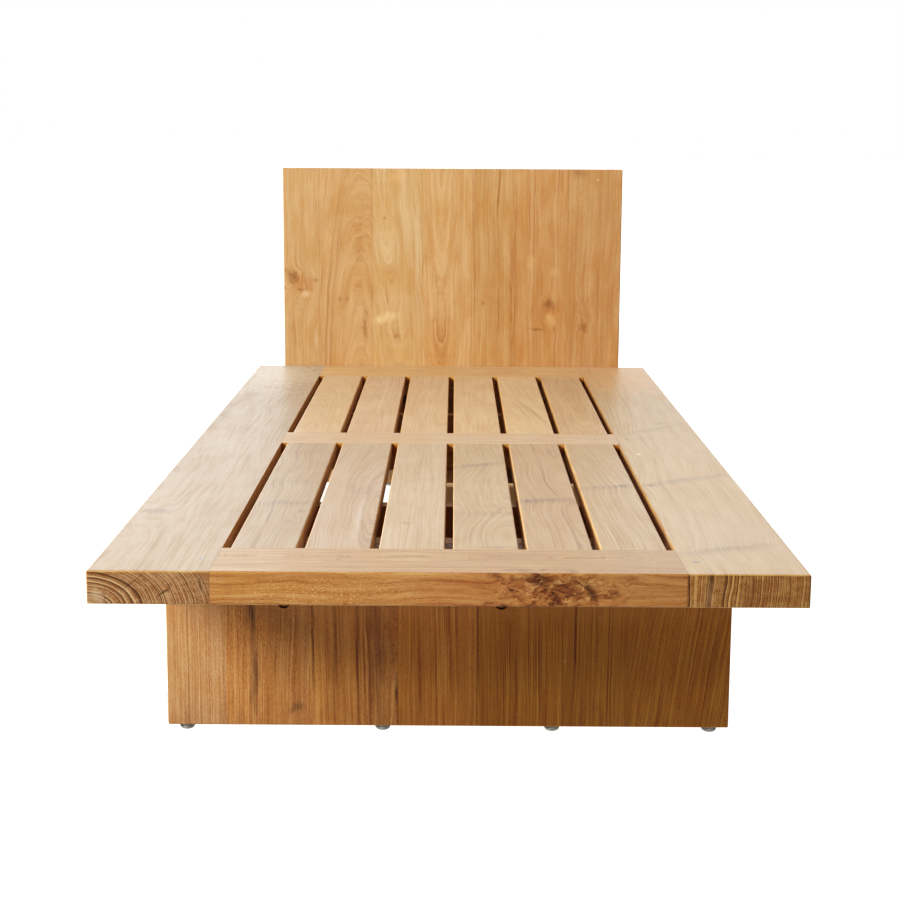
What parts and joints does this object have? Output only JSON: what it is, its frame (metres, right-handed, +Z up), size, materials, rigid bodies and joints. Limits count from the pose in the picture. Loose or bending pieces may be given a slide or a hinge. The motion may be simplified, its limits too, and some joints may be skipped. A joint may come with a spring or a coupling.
{
  "type": "outdoor daybed",
  "caption": "Low solid teak outdoor daybed: a slatted platform on a set-back leg panel and a headboard panel that reaches the ground, on levelling glides.",
  "frame": {"origin": "on the ground under the middle of the whole bed, headboard included", "axes": "+Z up; +Y along the bed from its open end to its headboard; +X to the right for someone at the open end who faces the headboard"},
  "size_m": [1, 2.032, 0.832],
  "materials": {
    "teak_frame": "sanded teak, unoiled, pale sandy beige with golden brown grain",
    "teak_slats": "sanded teak, unoiled",
    "teak_panels": "sanded teak, golden, vertical grain in edge-glued staves",
    "teak_under": "planed teak",
    "screw_steel": "plain stainless steel",
    "bolt_bronze": "bronze-toned plating, satin",
    "glide_nylon": "moulded grey nylon"
  },
  "bodies": {
    "daybed": {"side_rail_left": "teak_frame", "side_rail_right": "teak_frame", "front_rail": "teak_frame", "middle_rail": "teak_frame", "rear_rail": "teak_frame", "slat_front_1": "teak_slats", "slat_front_2": "teak_slats", "slat_front_3": "teak_slats", "slat_front_4": "teak_slats", "slat_front_5": "teak_slats", "slat_front_6": "teak_slats", "slat_rear_1": "teak_slats", "slat_rear_2": "teak_slats", "slat_rear_3": "teak_slats", "slat_rear_4": "teak_slats", "slat_rear_5": "teak_slats", "slat_rear_6": "teak_slats", "leg_panel": "teak_panels", "headboard": "teak_panels", "leg_rail": "teak_under", "head_rail": "teak_under", "bearer_left": "teak_under", "bearer_right": "teak_under", "front_batten": "teak_under", "rear_batten": "teak_under", "bearer_dowels": "teak_under", "tenon_pins": "screw_steel", "slat_screws": "screw_steel", "frame_screws": "screw_steel", "barrel_nuts": "screw_steel", "front_inserts": "screw_steel", "rear_inserts": "screw_steel", "leg_bolts": "bolt_bronze", "leg_nuts": "bolt_bronze", "headboard_bolts": "bolt_bronze", "headboard_nuts": "bolt_bronze", "rear_rail_bolts": "bolt_bronze"},
    "front_leveller_1": {"front_glide_1": "glide_nylon", "front_stem_1": "screw_steel"},
    "front_leveller_2": {"front_glide_2": "glide_nylon", "front_stem_2": "screw_steel"},
    "front_leveller_3": {"front_glide_3": "glide_nylon", "front_stem_3": "screw_steel"},
    "front_leveller_4": {"front_glide_4": "glide_nylon", "front_stem_4": "screw_steel"},
    "rear_leveller_1": {"rear_glide_1": "glide_nylon", "rear_stem_1": "screw_steel"},
    "rear_leveller_2": {"rear_glide_2": "glide_nylon", "rear_stem_2": "screw_steel"},
    "rear_leveller_3": {"rear_glide_3": "glide_nylon", "rear_stem_3": "screw_steel"},
    "rear_leveller_4": {"rear_glide_4": "glide_nylon", "rear_stem_4": "screw_steel"}
  },
  "joints": [
    {"name": "front_glide_1_height", "type": "slide", "parent": "daybed", "child": "front_leveller_1", "axis": [0, 0, -1], "range_m": [0, 0.01]},
    {"name": "front_glide_2_height", "type": "slide", "parent": "daybed", "child": "front_leveller_2", "axis": [0, 0, -1], "range_m": [0, 0.01]},
    {"name": "front_glide_3_height", "type": "slide", "parent": "daybed", "child": "front_leveller_3", "axis": [0, 0, -1], "range_m": [0, 0.01]},
    {"name": "front_glide_4_height", "type": "slide", "parent": "daybed", "child": "front_leveller_4", "axis": [0, 0, -1], "range_m": [0, 0.01]},
    {"name": "rear_glide_1_height", "type": "slide", "parent": "daybed", "child": "rear_leveller_1", "axis": [0, 0, -1], "range_m": [0, 0.01]},
    {"name": "rear_glide_2_height", "type": "slide", "parent": "daybed", "child": "rear_leveller_2", "axis": [0, 0, -1], "range_m": [0, 0.01]},
    {"name": "rear_glide_3_height", "type": "slide", "parent": "daybed", "child": "rear_leveller_3", "axis": [0, 0, -1], "range_m": [0, 0.01]},
    {"name": "rear_glide_4_height", "type": "slide", "parent": "daybed", "child": "rear_leveller_4", "axis": [0, 0, -1], "range_m": [0, 0.01]}
  ]
}
